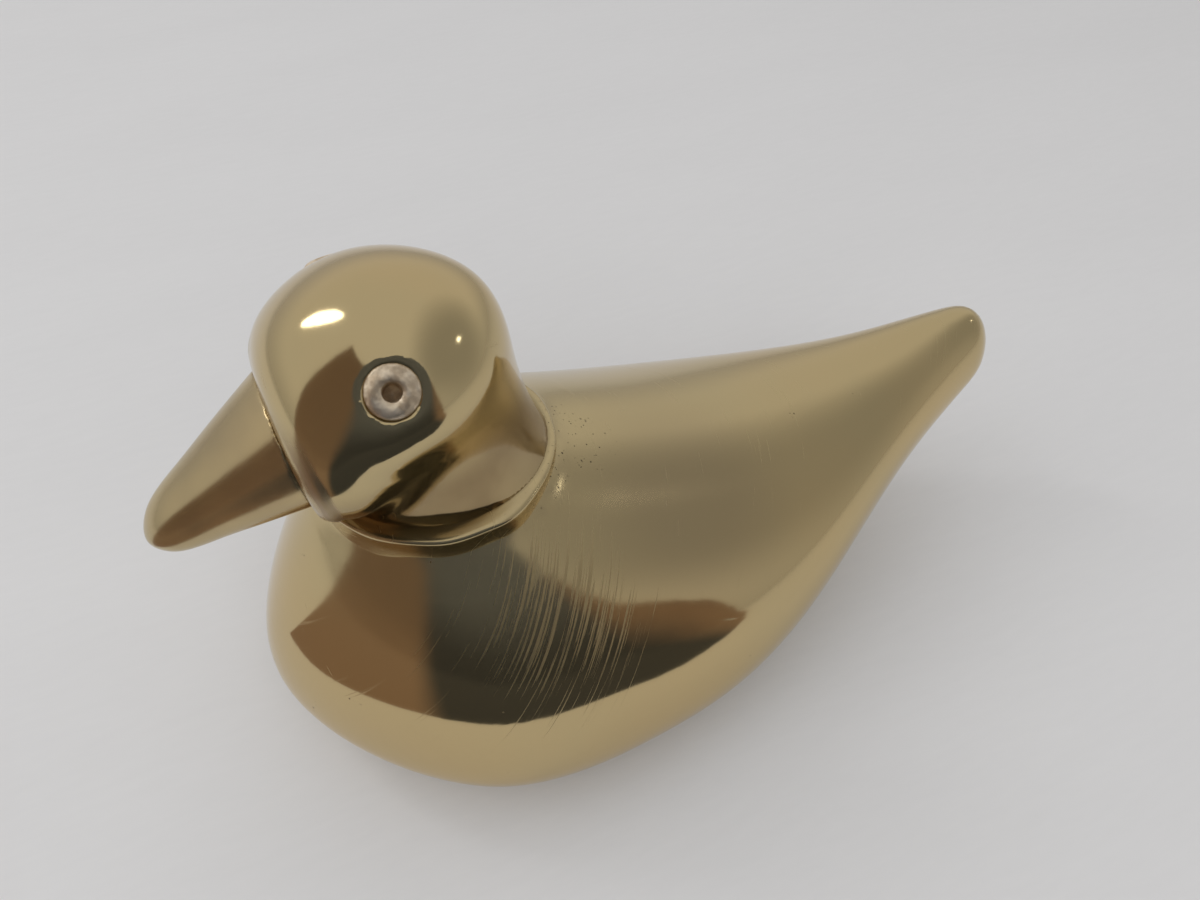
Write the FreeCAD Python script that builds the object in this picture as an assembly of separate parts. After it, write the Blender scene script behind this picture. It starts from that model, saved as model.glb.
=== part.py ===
import FreeCAD, Part
import math
import os

# Brass duck ornament, in millimetres.
# X runs from the bill to the tail, Z is up, and the duck's left side faces -Y.
# The origin is on the base plane, under the middle of the whole duck.

Vector = FreeCAD.Vector

# Body casting
body_length = 111.0
body_width = 59.5
back_height = 42.0
side_height = 12.0
keel_depth = 6.0
breast_round = 28.0
breast_rise_round = 27.0
tail_round = 5.5
wall = 3.0
cavity_length = 84.0
cavity_end_round = 14.0
mouth_place = 43.8
mouth_length = 50.0
mouth_width = 37.0
mouth_height = 4.5

# Outline of the body at stations along it: shares of the body's length, half width,
# back height, side height and keel depth. A keel share above zero is under the base plane.
station_shares = [0.0, 0.12, 0.25, 0.4, 0.55, 0.7, 0.85, 1.0]
width_shares = [0.77, 0.92, 1.0, 0.985, 0.87, 0.61, 0.33, 0.16]
back_shares = [0.78, 1.0, 1.03, 0.91, 0.79, 0.735, 0.76, 0.82]
side_shares = [1.03, 1.0, 0.98, 0.91, 1.02, 1.4, 1.83, 2.16]
keel_shares = [-0.5, 0.15, 0.7, 0.95, 0.6, -0.4, -2.1, -4.2]
flank_power_shares = [1.0, 1.0, 0.97, 0.95, 0.98, 1.03, 1.05, 1.05]
flank_power = 1.8
belly_power = 2.0
ring_points = 16
middle_points = 6
blade_points = 4

# Seat for the neck, a little under the height of the back
neck_place = 26.0
seat_drop = 1.2
neck_diameter = 26.0
seat_ledge = 0.3
seat_flare = 2.0
seat_flare_drop = 8.0
flare_waist_share = 0.33
flare_waist_drop_share = 0.6
crown_thickness = 7.0
boss_diameter = 17.0

# Head and neck casting, in sections that turn about the throat
throat_lead = 1.8
throat_gap = 1.2
face_angle = 100.0
head_reach = 27.5
head_width = 32.0
head_angle_shares = [0.116, 0.254, 0.434, 0.622, 0.807, 0.927, 1.0]
head_far_shares = [0.955, 0.985, 1.1, 1.035, 0.86, 0.715, 0.52]
head_width_shares = [0.81, 0.835, 0.92, 0.98, 0.89, 0.79, 0.61]
head_power = 2.1
crown_power = 1.8

# Bill
bill_length = 18.7
bill_drop_angle = 27.0
bill_step = 0.8
bill_tip_width = 6.0
bill_tip_height = 4.0
bill_round = 3.6
bill_turn_share = 0.75
bill_power = 2.3
spigot_diameter = 6.0
spigot_length = 5.0

# Eyes: turned rings, each on an axis that leaves the middle of the head
eye_centre_height = 12.9
eye_centre_lead = 2.0
eye_turn = 20.0
eye_lift = 30.0
eye_diameter = 5.4
eye_hole_diameter = 1.9
eye_hole_depth = 2.4
eye_flange = 1.0
eye_stand = 0.1
eye_crown = 0.25
eye_shank_diameter = 3.0
eye_shank_length = 3.5

# Fastening under the neck
stud_diameter = 6.0
stud_in_head = 12.0
stud_below_nut = 2.0
stud_chamfer = 0.6
washer_diameter = 14.0
washer_thickness = 1.4
nut_across_flats = 10.0
nut_height = 5.0
nut_chamfer = 0.6

# Fits
crown_hole_clearance = 0.4
thread_clearance = 0.05
spigot_clearance = 0.1
eye_clearance = 0.05
hole_end_clearance = 0.8
cut_overrun = 5.0

face_far = head_far_shares[-1] * head_reach
bill_place = (throat_gap + bill_step + face_far) / 2
tip_place = neck_place - neck_diameter / 2 - throat_lead
tip_place += math.cos(math.radians(face_angle)) * bill_place
tip_place -= math.cos(math.radians(bill_drop_angle)) * bill_length
body_start = -(body_length + tip_place) / 2
neck_x = body_start + neck_place
seat_height = back_height - seat_drop
boss_bottom = seat_height - crown_thickness


def spline_through(places, values):
    """A smooth curve of values over places; its parameter is the place."""
    curve = Part.BSplineCurve()
    points = [Vector(place, value, 0) for place, value in zip(places, values)]
    curve.interpolate(Points=points, Parameters=places)
    return curve


def power(value, exponent):
    """A signed power, for outlines between a diamond and a rounded square."""
    return math.copysign(abs(value) ** exponent, value)


def round_end(distance, length):
    """How far an end that is rounded over a length has opened at a distance from its tip."""
    if distance >= length:
        return 1.0
    return math.sqrt(max(0.0, 1.0 - (1.0 - distance / length) ** 2))


def closed_curve(points):
    """One smooth closed curve through the points, evenly spaced in its parameter."""
    count = len(points)
    curve = Part.BSplineCurve()
    steps = [index / count for index in range(count + 1)]
    curve.interpolate(Points=points, PeriodicFlag=True, Parameters=steps)
    return curve


def skinned(rings, first_tip=None, last_tip=None):
    """A smooth closed solid over rings of points, with flat or pointed ends."""
    curves = [closed_curve(ring) for ring in rings]
    rows = [curve.getPoles() for curve in curves]
    count = len(rows[0])
    if first_tip:
        rows.insert(0, [first_tip] * count)
    if last_tip:
        rows.append([last_tip] * count)
    places = [0.0]
    for row, following in zip(rows, rows[1:]):
        step = sum((b - a).Length for a, b in zip(row, following)) / count
        places.append(places[-1] + step)
    lines = []
    for index in range(count):
        line = Part.BSplineCurve()
        line.interpolate(Points=[row[index] for row in rows], Parameters=places)
        lines.append(line)
    along = lines[0]
    around = curves[0]
    surface = Part.BSplineSurface()
    surface.buildFromPolesMultsKnots(
        [list(row) for row in zip(*[line.getPoles() for line in lines])],
        along.getMultiplicities(), around.getMultiplicities(),
        along.getKnots(), around.getKnots(), False, True, along.Degree, around.Degree,
    )
    side = surface.toShape()
    faces = [side]
    for edge in side.Edges:
        if edge.isClosed() and not edge.Degenerated:
            faces.append(Part.Face(Part.Wire([edge])))
    shell = Part.Shell(faces)
    shell.sewShape()
    return Part.Solid(Part.Shell(shell.Faces))


def turned(points):
    """A solid turned about the upright axis from a closed outline of radii and heights."""
    corners = [Vector(radius, 0, height) for radius, height in points]
    edges = [Part.makeLine(a, b) for a, b in zip(corners, corners[1:] + corners[:1])]
    return Part.Face(Part.Wire(edges)).revolve(Vector(0, 0, 0), Vector(0, 0, 1), 360)


width_line = spline_through(station_shares, width_shares)
back_line = spline_through(station_shares, back_shares)
side_line = spline_through(station_shares, side_shares)
keel_line = spline_through(station_shares, keel_shares)
flank_line = spline_through(station_shares, flank_power_shares)


def body_ring(distance, opening, rise_opening, inset):
    """The body's outline at a distance from the breast, drawn in evenly by the inset."""
    share = distance / body_length
    side = side_line.value(share).y * side_height
    half_width = (width_line.value(share).y * body_width / 2 - inset) * opening
    rise = (back_line.value(share).y * back_height - inset - side) * rise_opening
    fall = (side + keel_line.value(share).y * keel_depth - inset) * rise_opening
    roundness = flank_line.value(share).y * flank_power
    points = []
    for index in range(ring_points):
        turn = 2 * math.pi * index / ring_points - math.pi / 2
        upper = math.sin(turn) >= 0
        exponent = 2 / (roundness if upper else belly_power)
        height = rise if upper else fall
        points.append(Vector(
            body_start + distance,
            half_width * power(math.cos(turn), exponent),
            side + height * power(math.sin(turn), exponent),
        ))
    return points


def end_tip(distance):
    """The tip of the body's form, at the height of its side line."""
    side = side_line.value(distance / body_length).y * side_height
    return Vector(body_start + distance, 0, side)


def body_form(start, end, end_round, inset):
    """The body's rounded form between two distances from the breast."""
    turns = [math.radians(angle) for angle in (12, 24, 42, 60, 76)]
    breast = breast_round - start
    breast_rise = breast_rise_round - start
    distances = [start + breast * (1 - math.cos(turn)) for turn in turns]
    middle_start = start + breast
    middle_end = end - end_round
    step = (middle_end - middle_start) / middle_points
    distances += [middle_start + step * index for index in range(middle_points + 1)]
    distances += [end - end_round * (1 - math.cos(turn)) for turn in reversed(turns[1:])]
    rings = []
    for distance in distances:
        closing = round_end(end - distance, end_round)
        opening = min(round_end(distance - start, breast), closing)
        rise_opening = min(round_end(distance - start, breast_rise), closing)
        rings.append(body_ring(distance, opening, rise_opening, inset))
    return skinned(rings, end_tip(start), end_tip(end))


def make_crown():
    """The solid crown under the neck: the seat on top, its flare, and the boss inside."""
    land = neck_diameter / 2 + seat_ledge
    waist = Vector(
        land + seat_flare * flare_waist_share, 0,
        seat_height - seat_flare_drop * flare_waist_drop_share,
    )
    corners = [
        Vector(land, 0, seat_height),
        Vector(0, 0, seat_height),
        Vector(0, 0, boss_bottom),
        Vector(boss_diameter / 2, 0, boss_bottom),
        Vector(land + seat_flare, 0, seat_height - seat_flare_drop),
    ]
    edges = [Part.makeLine(a, b) for a, b in zip(corners, corners[1:])]
    edges.append(Part.Arc(corners[-1], waist, corners[0]).toShape())
    crown = Part.Face(Part.Wire(edges)).revolve(Vector(0, 0, 0), Vector(0, 0, 1), 360)
    return crown.translated(Vector(neck_x, 0, 0))


def make_body():
    outer = body_form(0.0, body_length, tail_round, 0.0)
    cavity = body_form(wall, cavity_length, cavity_end_round, wall)
    under = Part.makeBox(
        body_length * 2, body_width * 2, back_height,
        Vector(-body_length, -body_width, -back_height),
    )
    rim = Part.Ellipse(
        Vector(body_start + mouth_place, 0, -cut_overrun), mouth_length / 2, mouth_width / 2,
    )
    mouth = Part.Face(Part.Wire([rim.toShape()])).extrude(Vector(0, 0, cut_overrun + mouth_height))
    seat_face = Part.makeCylinder(
        neck_diameter / 2 + seat_ledge, back_height, Vector(neck_x, 0, seat_height),
    )
    hole = Part.makeCylinder(
        stud_diameter / 2 + crown_hole_clearance, crown_thickness + 2 * cut_overrun,
        Vector(neck_x, 0, boss_bottom - cut_overrun),
    )
    shell = outer.cut(cavity.fuse(under)).cut(mouth).fuse(make_crown())
    return shell.cut(seat_face.fuse(hole)).removeSplitter()


throat = Vector(neck_x - neck_diameter / 2 - throat_lead, 0, seat_height)


def raised(angle):
    """The direction in the middle plane that is raised by an angle from straight back."""
    return Vector(math.cos(math.radians(angle)), 0, math.sin(math.radians(angle)))


def oval_ring(centre, out, reach, half_width, near_power, far_power):
    """A rounded ring about a centre, in the plane of a direction and the duck's width."""
    points = []
    for index in range(ring_points):
        turn = 2 * math.pi * index / ring_points + math.pi
        exponent = far_power if math.cos(turn) > 0 else near_power
        along = out * (reach * power(math.cos(turn), 2 / exponent))
        across = Vector(0, half_width * power(math.sin(turn), 2 / exponent), 0)
        points.append(centre + along + across)
    return points


def head_ring(angle, near, far, half_width, near_power, far_power):
    """A section of the head in a plane through the throat, raised by an angle."""
    out = raised(angle)
    centre = throat + out * ((near + far) / 2)
    return oval_ring(centre, out, (far - near) / 2, half_width, near_power, far_power)


def make_head_form():
    """The neck's foot on the seat, the nape, the dome and the face in one bent form."""
    rings = [head_ring(0, throat_lead, throat_lead + neck_diameter, neck_diameter / 2, 2, 2)]
    for angle, far, width in zip(head_angle_shares, head_far_shares, head_width_shares):
        rings.append(head_ring(
            angle * face_angle, throat_gap, far * head_reach, width * head_width / 2,
            head_power, crown_power,
        ))
    return skinned(rings)


face_half_width = head_width_shares[-1] * head_width / 2
bill_root = throat + raised(face_angle) * bill_place
bill_axis = raised(180 + bill_drop_angle)


def bill_ring(share):
    """A section of the bill, which turns from the face's plane to square on the bill."""
    square_angle = 90 + bill_drop_angle
    angle = face_angle + (square_angle - face_angle) * min(1.0, share / bill_turn_share)
    opening = round_end((1 - share) * bill_length, bill_round)
    root_reach = (face_far - throat_gap - bill_step) / 2
    root_width = face_half_width - bill_step
    reach = (root_reach + (bill_tip_height / 2 - root_reach) * share) * opening
    half_width = (root_width + (bill_tip_width / 2 - root_width) * share) * opening
    centre = bill_root + bill_axis * (share * bill_length)
    return oval_ring(centre, raised(angle), reach, half_width, bill_power, bill_power)


def make_bill():
    straight = 1 - bill_round / bill_length
    shares = [straight * index / blade_points for index in range(blade_points + 1)]
    for turn in (24, 42, 60, 76):
        shares.append(1 - (1 - straight) * (1 - math.sin(math.radians(turn))))
    tip = bill_root + bill_axis * bill_length
    blade = skinned([bill_ring(share) for share in shares], last_tip=tip)
    spigot = Part.makeCylinder(spigot_diameter / 2, spigot_length, bill_root, bill_axis * -1)
    return blade.fuse(spigot).removeSplitter()


eye_centre = Vector(neck_x - eye_centre_lead, 0, seat_height + eye_centre_height)


def eye_seat(head_form, side):
    """Where the eye on a side (-1 is left) sits on the head, and the way it faces."""
    level = math.cos(math.radians(eye_lift))
    direction = Vector(
        -level * math.sin(math.radians(eye_turn)),
        side * level * math.cos(math.radians(eye_turn)),
        math.sin(math.radians(eye_lift)),
    )
    axis = Part.makeLine(eye_centre, eye_centre + direction * (head_width + head_reach))
    place = eye_centre + direction * axis.common(head_form).Length
    skin = head_form.Faces[0]
    for face in head_form.Faces:
        if face.distToShape(Part.Vertex(place))[0] < skin.distToShape(Part.Vertex(place))[0]:
            skin = face
    facing = skin.normalAt(*skin.Surface.parameter(place))
    return place, facing * math.copysign(1, facing.dot(direction))


def set_on(shape, place, direction):
    """A shape made about the upright axis, moved to a place and turned to a direction."""
    shape.Placement = FreeCAD.Placement(
        place, FreeCAD.Rotation(Vector(0, 0, 1), direction),
    ).multiply(shape.Placement)
    return shape


def make_eye(place, direction):
    rim = eye_diameter / 2
    shank = eye_shank_diameter / 2
    hole = eye_hole_diameter / 2
    seat = eye_stand - eye_flange
    crown = Vector((rim + hole) / 2, 0, eye_stand)
    rim_top = Vector(rim, 0, eye_stand - eye_crown)
    hole_top = Vector(hole, 0, eye_stand - eye_crown)
    corners = [
        hole_top,
        Vector(hole, 0, eye_stand - eye_hole_depth),
        Vector(0, 0, eye_stand - eye_hole_depth - hole / 2),
        Vector(0, 0, seat - eye_shank_length),
        Vector(shank, 0, seat - eye_shank_length),
        Vector(shank, 0, seat),
        Vector(rim, 0, seat),
        rim_top,
    ]
    edges = [Part.makeLine(a, b) for a, b in zip(corners, corners[1:])]
    edges.append(Part.Arc(rim_top, crown, hole_top).toShape())
    ring = Part.Face(Part.Wire(edges)).revolve(Vector(0, 0, 0), Vector(0, 0, 1), 360)
    return set_on(ring, place, direction)


def eye_socket(place, direction):
    """The counterbored socket that takes an eye's ring and shank."""
    seat = eye_stand - eye_flange
    depth = eye_shank_length + hole_end_clearance
    recess = Part.makeCylinder(
        eye_diameter / 2 + eye_clearance, cut_overrun, Vector(0, 0, seat),
    )
    bore = Part.makeCylinder(
        eye_shank_diameter / 2 + eye_clearance, depth, Vector(0, 0, seat - depth),
    )
    return set_on(recess.fuse(bore), place, direction)


def make_head(form, eye_seats):
    stud_hole = Part.makeCylinder(
        stud_diameter / 2 + thread_clearance, stud_in_head + hole_end_clearance,
        Vector(neck_x, 0, seat_height),
    )
    bill_socket = Part.makeCylinder(
        spigot_diameter / 2 + spigot_clearance, spigot_length + hole_end_clearance,
        bill_root, bill_axis * -1,
    )
    head = form.cut(stud_hole).cut(bill_socket)
    for place, direction in eye_seats:
        head = head.cut(eye_socket(place, direction))
    return head


def make_stud():
    bottom = boss_bottom - washer_thickness - nut_height - stud_below_nut
    top = seat_height + stud_in_head
    radius = stud_diameter / 2
    stud = turned([
        (0, bottom), (radius - stud_chamfer, bottom), (radius, bottom + stud_chamfer),
        (radius, top - stud_chamfer), (radius - stud_chamfer, top), (0, top),
    ])
    return stud.translated(Vector(neck_x, 0, 0))


def make_washer():
    inner = stud_diameter / 2 + crown_hole_clearance
    outer = washer_diameter / 2
    bottom = boss_bottom - washer_thickness
    washer = turned([(inner, bottom), (outer, bottom), (outer, boss_bottom), (inner, boss_bottom)])
    return washer.translated(Vector(neck_x, 0, 0))


def make_nut():
    """A hexagon nut, its corners chamfered above and below."""
    top = boss_bottom - washer_thickness
    bottom = top - nut_height
    corner = nut_across_flats / 2 / math.cos(math.radians(30))
    bore = stud_diameter / 2 + thread_clearance
    flats = nut_across_flats / 2
    slope = (corner - flats) * nut_chamfer
    points = [
        Vector(corner * math.cos(math.radians(60 * i)), corner * math.sin(math.radians(60 * i)), bottom)
        for i in range(7)
    ]
    prism = Part.Face(Part.makePolygon(points)).extrude(Vector(0, 0, nut_height))
    limit = turned([
        (bore, bottom), (flats, bottom), (corner, bottom + slope),
        (corner, top - slope), (flats, top), (bore, top),
    ])
    return prism.common(limit).translated(Vector(neck_x, 0, 0))


def main():
    os.makedirs("parts", exist_ok=True)
    head_form = make_head_form()
    left_seat = eye_seat(head_form, -1)
    right_seat = eye_seat(head_form, 1)
    pieces = {
        "body": make_body(),
        "head": make_head(head_form, [left_seat, right_seat]),
        "bill": make_bill(),
        "left_eye": make_eye(*left_seat),
        "right_eye": make_eye(*right_seat),
        "neck_stud": make_stud(),
        "neck_washer": make_washer(),
        "neck_nut": make_nut(),
    }
    for name, shape in pieces.items():
        shape.exportStep("parts/" + name + ".step")
        print(name, len(shape.Solids), round(shape.Volume), shape.isValid())


main()
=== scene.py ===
"""Looks, stage and camera for a cast brass duck with a bolted head, a stepped bill and ring eyes."""

import math

import bmesh
import bpy
from bpy.props import FloatProperty, FloatVectorProperty, IntProperty, PointerProperty
from bpy.types import Operator, Panel, PropertyGroup
from mathutils import Matrix, Vector, noise


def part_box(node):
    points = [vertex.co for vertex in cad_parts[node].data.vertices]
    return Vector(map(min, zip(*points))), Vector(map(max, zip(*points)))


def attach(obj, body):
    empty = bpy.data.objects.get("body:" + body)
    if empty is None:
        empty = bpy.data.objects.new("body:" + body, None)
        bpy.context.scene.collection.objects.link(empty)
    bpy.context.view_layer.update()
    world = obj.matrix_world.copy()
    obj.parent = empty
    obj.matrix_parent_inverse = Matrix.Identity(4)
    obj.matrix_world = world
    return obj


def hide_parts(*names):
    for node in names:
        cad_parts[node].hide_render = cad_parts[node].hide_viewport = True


bl_info = {
    "name": "Brass Duck",
    "version": (1, 0, 0),
    "blender": (4, 5, 0),
    "location": "3D View > Sidebar > Duck",
    "description": "Finishes a cast brass duck and sets it on a pale table",
    "category": "Object",
}

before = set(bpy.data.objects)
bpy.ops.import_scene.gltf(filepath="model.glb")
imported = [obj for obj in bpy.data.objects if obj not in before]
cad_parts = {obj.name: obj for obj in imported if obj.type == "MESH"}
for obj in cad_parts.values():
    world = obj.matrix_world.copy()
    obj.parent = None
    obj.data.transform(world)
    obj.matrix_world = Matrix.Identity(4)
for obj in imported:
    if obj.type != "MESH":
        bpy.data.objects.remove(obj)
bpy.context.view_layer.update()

MM = 0.001

# The neck's axis and seat, from the solids
stud_low, stud_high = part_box("neck_stud")
neck_axis = (stud_low + stud_high) / 2
seat_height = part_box("head")[0].z

# The face looks forward and a little down, in a plane through the throat
THROAT_LEAD = 14.8 * MM
FACE_LEAN = math.radians(10)
throat = Vector((neck_axis.x - THROAT_LEAD, 0.0, seat_height))
face_normal = Vector((-math.cos(FACE_LEAN), 0.0, -math.sin(FACE_LEAN)))

# The way the eyes look, and the way the polishing strokes run
EYE_TURN = math.radians(20)
EYE_LIFT = math.radians(30)
BRUSH_LEAN = math.radians(-48)
CROSS_LEAN = math.radians(-12)
BILL_LEAN = math.radians(-27)

# The dark card's section from its foot up, as reach from the duck and height above the table
CARD_PROFILE = (
    (0.088, 0.001), (0.1, 0.001), (0.12, 0.001), (0.15, 0.001), (0.2, 0.001), (0.3, 0.006),
    (0.42, 0.02), (0.455, 0.1), (0.46, 0.2), (0.44, 0.31), (0.4, 0.42), (0.27, 0.6),
)

# How far the card's end is cut back at each point of its section, in degrees
CARD_END_CUTS = (24, 17, 11, 6, 2, 0, 0, 0, 1, 3, 7, 14)

# The bead's underside, as a share of its width and a drop under the seat
BEAD_UNDERSIDE = (
    (0.97, 0.6 * MM), (0.89, 1.1 * MM), (0.8, 1.8 * MM),
    (0.73, 2.8 * MM), (0.7, 4.2 * MM), (0.7, 6 * MM),
)

# The side of the room that is dimmer, as a direction from the duck
DIM_SIDE = (0.76, -0.3, 0.58)


# Materials

class Shader:
    """A short way to lay out one material's nodes."""

    def __init__(self, name):
        self.material = bpy.data.materials.new(name)
        self.material.use_nodes = True
        self.tree = self.material.node_tree
        self.surface = self.tree.nodes["Principled BSDF"]
        self.place = self.node("ShaderNodeTexCoord").outputs["Object"]

    def node(self, kind, **settings):
        made = self.tree.nodes.new(kind)
        for name, value in settings.items():
            setattr(made, name, value)
        return made

    def feed(self, socket, value):
        """A link or a fixed value on a socket."""
        if isinstance(value, bpy.types.NodeSocket):
            self.tree.links.new(value, socket)
        else:
            socket.default_value = value

    def maths(self, operation, *values, clamp=False):
        made = self.node("ShaderNodeMath", operation=operation, use_clamp=clamp)
        for socket, value in zip(made.inputs, values):
            self.feed(socket, value)
        return made.outputs[0]

    def plus(self, value, item, share):
        """A value with a share of another added to it."""
        return self.maths("ADD", value, self.maths("MULTIPLY", item, share))

    def span(self, value, low, high, to_low=0.0, to_high=1.0):
        """A value's smooth step from one range to another."""
        made = self.node("ShaderNodeMapRange", interpolation_type="SMOOTHSTEP")
        for socket, item in zip(made.inputs, (value, low, high, to_low, to_high)):
            self.feed(socket, item)
        return made.outputs[0]

    def mixed(self, share, first, second):
        made = self.node("ShaderNodeMix", data_type="RGBA")
        self.feed(made.inputs[0], share)
        self.feed(made.inputs[6], first)
        self.feed(made.inputs[7], second)
        return made.outputs[2]

    def turned(self, scale, rotation=(0.0, 0.0, 0.0)):
        """Places in a turned frame, drawn out along its axes: a small scale makes long streaks."""
        made = self.node("ShaderNodeMapping", vector_type="TEXTURE")
        self.feed(made.inputs["Vector"], self.place)
        made.inputs["Rotation"].default_value = rotation
        made.inputs["Scale"].default_value = [1 / share for share in scale]
        return made.outputs[0]

    def noise(self, scale, detail=2.0, place=None, roughness=0.5):
        made = self.node("ShaderNodeTexNoise")
        self.feed(made.inputs["Vector"], place or self.place)
        self.feed(made.inputs["Scale"], scale)
        self.feed(made.inputs["Detail"], detail)
        self.feed(made.inputs["Roughness"], roughness)
        return made.outputs[0]

    def cells(self, scale, place=None):
        """Distances to scattered points, and a random value for each point's cell."""
        made = self.node("ShaderNodeTexVoronoi")
        self.feed(made.inputs["Vector"], place or self.place)
        self.feed(made.inputs["Scale"], scale)
        return made.outputs["Distance"], made.outputs["Color"]

    def axes(self, value):
        made = self.node("ShaderNodeSeparateXYZ")
        self.feed(made.inputs[0], value)
        return made.outputs

    def nearness(self, centre, near, far):
        """One close to a point of the object, nothing past the far distance."""
        made = self.node("ShaderNodeVectorMath", operation="DISTANCE")
        self.feed(made.inputs[0], self.place)
        made.inputs[1].default_value = centre
        return self.span(made.outputs["Value"], near, far, 1.0, 0.0)

    def relief(self, height, strength, depth):
        made = self.node("ShaderNodeBump")
        self.feed(made.inputs["Height"], height)
        self.feed(made.inputs["Strength"], strength)
        self.feed(made.inputs["Distance"], depth)
        return made.outputs[0]

    def finish(self, colour, roughness, normal=None, metallic=1.0):
        self.feed(self.surface.inputs["Base Color"], colour)
        self.feed(self.surface.inputs["Roughness"], roughness)
        self.feed(self.surface.inputs["Metallic"], metallic)
        if normal is not None:
            self.feed(self.surface.inputs["Normal"], normal)
        return self.material


def scratches(shader, across, along, rotation, threshold):
    """Thin scratches that run one way over a casting, from long streaks of noise."""
    place = shader.turned((along, along * 2, across), rotation)
    streaks = shader.noise(1.0, 1.0, place, 0.4)
    return shader.span(streaks, threshold, threshold + 0.06)


def body_brass(looks):
    """Polished brass: brushed lines and scratches on the flanks, casting pits by the neck."""
    shader = Shader("body_brass")
    along, across, up = shader.axes(shader.place)
    cloud = shader.noise(28.0, 4.0)
    satin = shader.span(up, 24 * MM, 36 * MM)
    dulled = shader.plus(shader.span(cloud, 0.4, 0.8), satin, 0.8)
    warm = shader.mixed(shader.maths("MINIMUM", dulled, 1.0), looks.brass, looks.aged)

    brushed_place = shader.turned((60.0, 80.0, 4200.0), (0.0, BRUSH_LEAN, 0.0))
    brushed = shader.noise(1.0, 3.0, brushed_place, 0.6)
    worn_place = shader.turned((60.0, 60.0, 170.0), (0.0, BRUSH_LEAN, 0.0))
    worn = shader.span(shader.noise(1.0, 3.0, worn_place), 0.4, 0.65)
    buffed_place = (-21 * MM, -22 * MM, 29 * MM)
    buffed = shader.nearness(buffed_place, 3 * MM, 17 * MM)
    reached = shader.plus(shader.maths("MULTIPLY", buffed, 0.13), worn, 0.03)
    hairlines = shader.span(shader.maths("ADD", brushed, reached), 0.64, 0.74)
    cross_place = shader.turned((110.0, 110.0, 1500.0), (0.0, CROSS_LEAN, 0.0))
    crossed = shader.noise(1.0, 2.0, cross_place, 0.6)
    lines = scratches(shader, 2400.0, 50.0, (0.0, BRUSH_LEAN, 0.0), 0.76)
    stray = scratches(shader, 2200.0, 150.0, (math.radians(35), math.radians(20), 0.0), 0.77)
    patchy = shader.span(shader.noise(90.0, 2.0), 0.45, 0.6)
    stray = shader.maths("MULTIPLY", stray, patchy)
    lines = shader.maths("MAXIMUM", lines, stray)

    pit_distance, pit_colour = shader.cells(1900.0)
    pit_sizes = shader.axes(pit_colour)
    pit_size = shader.maths("MULTIPLY", pit_sizes[0], 0.33)
    pits = shader.span(shader.maths("SUBTRACT", pit_distance, pit_size), -0.12, 0.02, 1.0, 0.0)
    pitted_place = (neck_axis.x + 15.5 * MM, -5.0 * MM, seat_height - 2.0 * MM)
    behind_neck = shader.nearness(pitted_place, 2.5 * MM, 6.8 * MM)
    round_neck = shader.node("ShaderNodeVectorMath", operation="DISTANCE")
    flat_place = shader.node("ShaderNodeCombineXYZ")
    shader.feed(flat_place.inputs[0], along)
    shader.feed(flat_place.inputs[1], across)
    shader.feed(round_neck.inputs[0], flat_place.outputs[0])
    round_neck.inputs[1].default_value = (neck_axis.x, 0.0, 0.0)
    reach = round_neck.outputs["Value"]
    high = shader.span(up, seat_height - 6 * MM, seat_height - 3.5 * MM)
    collar = shader.maths("MULTIPLY", shader.span(reach, 14.2 * MM, 16.4 * MM, 1.0, 0.0), high)
    behind = shader.span(along, neck_axis.x + 4 * MM, neck_axis.x + 11 * MM)
    pitted_collar = shader.maths("MULTIPLY", collar, shader.span(behind, 0.0, 1.0, 0.12, 0.8))
    pitted_area = shader.maths("MAXIMUM", behind_neck, pitted_collar)
    specks = shader.span(shader.noise(240.0, 1.0), 0.72, 0.76)
    pitted = shader.maths("MULTIPLY", pits, shader.maths("MAXIMUM", pitted_area, specks), clamp=True)

    seam = shader.span(reach, 12.75 * MM, 13.15 * MM, 1.0, 0.0)
    seam = shader.maths("MULTIPLY", seam, high)
    stain = shader.maths("MULTIPLY", collar, shader.span(shader.noise(420.0, 3.0), 0.42, 0.62))
    # The saddle darkens part of the upper flank towards the tarnish colour.
    saddle_place = (1 * MM, -13 * MM, 31 * MM)
    saddle = shader.nearness(saddle_place, 4 * MM, 19 * MM)
    stain_and_saddle_darkening = shader.maths(
        "MAXIMUM", shader.maths("MULTIPLY", stain, 0.2), shader.maths("MULTIPLY", saddle, 0.5),
    )
    colour = shader.mixed(stain_and_saddle_darkening, warm, looks.tarnish)
    colour = shader.mixed(shader.maths("MULTIPLY", pitted, 0.85), colour, looks.grime_and_shade)
    colour = shader.mixed(shader.maths("MULTIPLY", seam, 0.25), colour, looks.grime_and_shade)

    rough = shader.plus(looks.polish, satin, looks.satin)
    haze = shader.plus(0.18, buffed, 0.28)
    rough = shader.plus(rough, hairlines, haze)
    rough = shader.plus(rough, lines, 0.35)
    rough = shader.plus(rough, collar, 0.04)
    rough = shader.plus(rough, pitted, 0.3)

    height = shader.maths("MULTIPLY", brushed, 0.06)
    height = shader.plus(height, crossed, 0.08)
    height = shader.plus(height, lines, -0.15)
    height = shader.plus(height, pitted, -2.2)
    lumps = shader.maths("MULTIPLY", shader.noise(650.0, 2.0), collar)
    height = shader.plus(height, lumps, 0.4)
    normal = shader.relief(height, looks.grain, 0.02 * MM)
    return shader.finish(colour, rough, normal)


def inner_brass(looks):
    """The hollow's bare casting: dull, sandy and darker than the outside."""
    shader = Shader("cast_brass")
    grain = shader.noise(1500.0, 3.0)
    broad = shader.noise(160.0, 4.0)
    colour = shader.mixed(shader.span(broad, 0.35, 0.7), looks.tarnish, looks.grime_and_shade)
    rough = shader.span(grain, 0.3, 0.7, 0.45, 0.7)
    height = shader.plus(grain, broad, 1.5)
    return shader.finish(colour, rough, shader.relief(height, 0.6, 0.12 * MM))


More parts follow.
